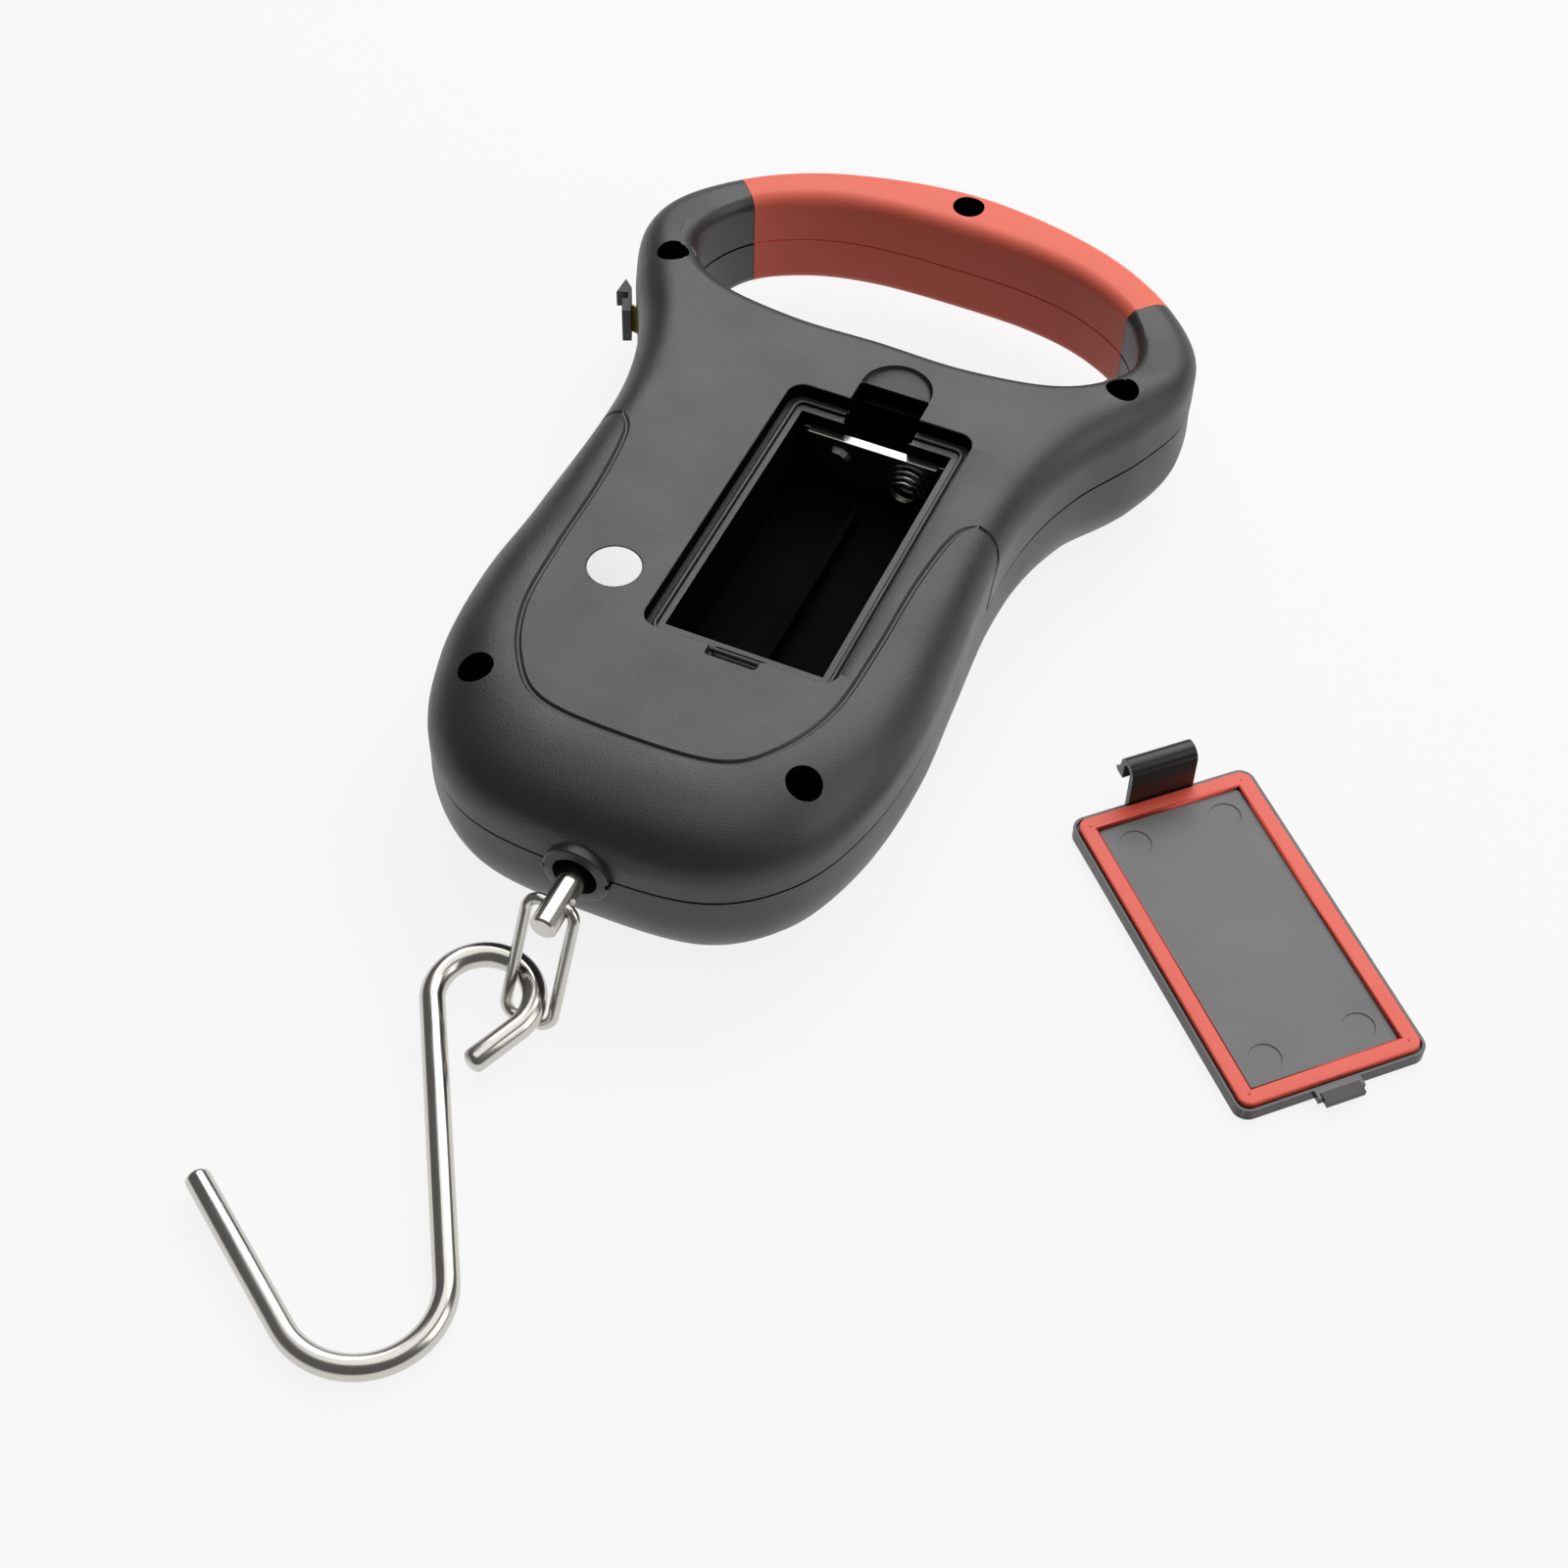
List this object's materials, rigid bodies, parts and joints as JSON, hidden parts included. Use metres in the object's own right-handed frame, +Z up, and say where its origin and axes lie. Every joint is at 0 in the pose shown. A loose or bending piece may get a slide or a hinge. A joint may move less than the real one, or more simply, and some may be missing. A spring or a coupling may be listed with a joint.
{
  "type": "digital luggage scale",
  "caption": "Hand-held digital luggage scale with a loop handle, hanging hook, built-in tape measure and a loose battery door with a gasket.",
  "frame": {"origin": "on the flat front face that the scale lies on, under the middle of the casing's length and width", "axes": "+Z up from the front face to the flat back, +Y along the casing towards the handle, +X to the right seen from above with the handle away"},
  "size_m": [0.1607, 0.2252, 0.028],
  "materials": {
    "shell": "fine matte grain",
    "grip": "soft-touch satin",
    "screw": "zinc plated",
    "label": "printed film",
    "door": "fine matte grain",
    "gasket": "smooth silicone",
    "contact": "nickel plated",
    "beam": "milled",
    "gauge": "polyimide film",
    "hook": "bright nickel plated wire",
    "board": "solder mask",
    "chip": "moulded black",
    "switch": "plated tin",
    "display": "grey-green cell",
    "elastomer": "silicone",
    "window": "smoked clear",
    "button": "satin",
    "spool": "moulded white",
    "tape": "lacquered steel",
    "spring_steel": "blued",
    "cover": "moulded black"
  },
  "bodies": {
    "casing": {"back_shell": "shell", "front_shell": "shell", "grip_back": "grip", "grip_front": "grip", "case_screws": "screw", "qc_sticker": "label", "bridge_contact": "contact", "bridge_spring": "contact", "positive_contact": "contact", "negative_contact": "contact", "negative_spring": "contact", "load_cell": "beam", "strain_gauges": "gauge", "cell_clamp_screws": "screw", "circuit_board": "board", "processor_blob": "chip", "tact_switches": "switch", "lcd_glass": "display", "zebra_strips": "elastomer", "display_window": "window", "buzzer": "chip", "spool_spring": "spring_steel", "spool_cover": "cover", "spool_screw": "screw"},
    "rod": {"load_rod": "hook", "rod_nut": "screw"},
    "link": {"chain_link": "hook"},
    "hook": {"s_hook": "hook"},
    "door": {"battery_door": "door", "door_gasket": "gasket"},
    "tape": {"tape_blade": "tape", "tape_tab": "cover"},
    "spool": {"tape_spool": "spool", "tape_coil": "tape"},
    "zero_key": {"button_zero": "button"},
    "power_key": {"button_power": "button"},
    "unit_key": {"button_unit": "button"}
  },
  "joints": [
    {"name": "rod_swivel", "type": "hinge", "parent": "casing", "child": "rod", "pos_m": [0, -0.06, 0.0164], "axis": [0, -1, 0], "continuous": true},
    {"name": "link_swing", "type": "hinge", "parent": "rod", "child": "link", "pos_m": [0, -0.0815, 0.0164], "axis": [1, 0, 0], "range_deg": [-75, 12]},
    {"name": "hook_swing", "type": "hinge", "parent": "link", "child": "hook", "pos_m": [-0.0007, -0.0906, 0.00099], "axis": [1, 0, 0], "range_deg": [-60, 0]},
    {"name": "door_lift", "type": "slide", "parent": "casing", "child": "door", "axis": [0, 0, 1], "range_m": [0, 0.05]},
    {"name": "tape_pull", "type": "slide", "parent": "casing", "child": "tape", "axis": [-0.9781, 0.2079, 0], "range_m": [0, 0.018], "stiffness_N_per_m": 4},
    {"name": "spool_spin", "type": "hinge", "parent": "casing", "child": "spool", "pos_m": [-0.02055, 0.0172, 0.015], "axis": [0, 0, 1], "range_deg": [-2, 120]},
    {"name": "zero_press", "type": "slide", "parent": "casing", "child": "zero_key", "axis": [0, 0, 1], "range_m": [0, 0.0004], "stiffness_N_per_m": 1500},
    {"name": "power_press", "type": "slide", "parent": "casing", "child": "power_key", "axis": [0, 0, 1], "range_m": [0, 0.0004], "stiffness_N_per_m": 1500},
    {"name": "unit_press", "type": "slide", "parent": "casing", "child": "unit_key", "axis": [0, 0, 1], "range_m": [0, 0.0004], "stiffness_N_per_m": 1500}
  ],
  "couplings": [
    {"joint": "spool_spin", "follows": "tape_pull", "rad_per_m": 105.26}
  ]
}
